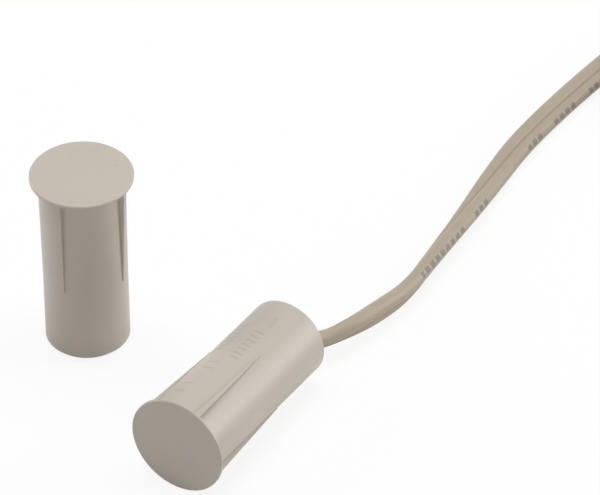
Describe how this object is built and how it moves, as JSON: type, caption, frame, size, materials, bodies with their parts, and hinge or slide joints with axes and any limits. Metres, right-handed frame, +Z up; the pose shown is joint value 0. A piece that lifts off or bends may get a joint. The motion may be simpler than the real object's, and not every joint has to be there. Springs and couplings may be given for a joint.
{
  "type": "recessed magnetic contact",
  "caption": "Press-in magnetic door contact: a flanged reed-switch plug with a flat twin lead, and a matching flanged magnet plug.",
  "frame": {"origin": "centre of the magnet plug's rear face, on the surface that it stands on", "axes": "+Z up, along the magnet plug from its rear end to its flange; +Y away from the viewer, along the longer side of the pair; +X to the right"},
  "size_m": [0.1089, 0.0901, 0.0229],
  "materials": {
    "housing_plastic": "moulded, semi-gloss, warm light grey",
    "potting_resin": "poured resin, satin",
    "reed_envelope": "clear, pale green",
    "reed_blade": "plated",
    "cable_sheath": "soft vinyl, satin, warm light grey",
    "tinned_copper": "tinned strands",
    "solder": "bright, rounded",
    "magnet_alloy": "ground",
    "tie_paper": "paper-covered wire"
  },
  "bodies": {
    "root": {"magnet_housing": "housing_plastic", "magnet_rod": "magnet_alloy", "magnet_potting": "potting_resin", "switch_housing": "housing_plastic", "switch_potting": "potting_resin", "reed_glass": "reed_envelope", "reed_blade_front": "reed_blade", "reed_blade_rear": "reed_blade", "core_insulation": "cable_sheath", "strand_front": "tinned_copper", "strand_rear": "tinned_copper", "solder_front": "solder", "solder_rear": "solder", "cable": "cable_sheath", "cable_coil": "cable_sheath", "coil_tie": "tie_paper", "lead_tail_a": "cable_sheath", "lead_tail_b": "cable_sheath", "tinned_tip_a": "tinned_copper", "tinned_tip_b": "tinned_copper"}
  },
  "joints": []
}
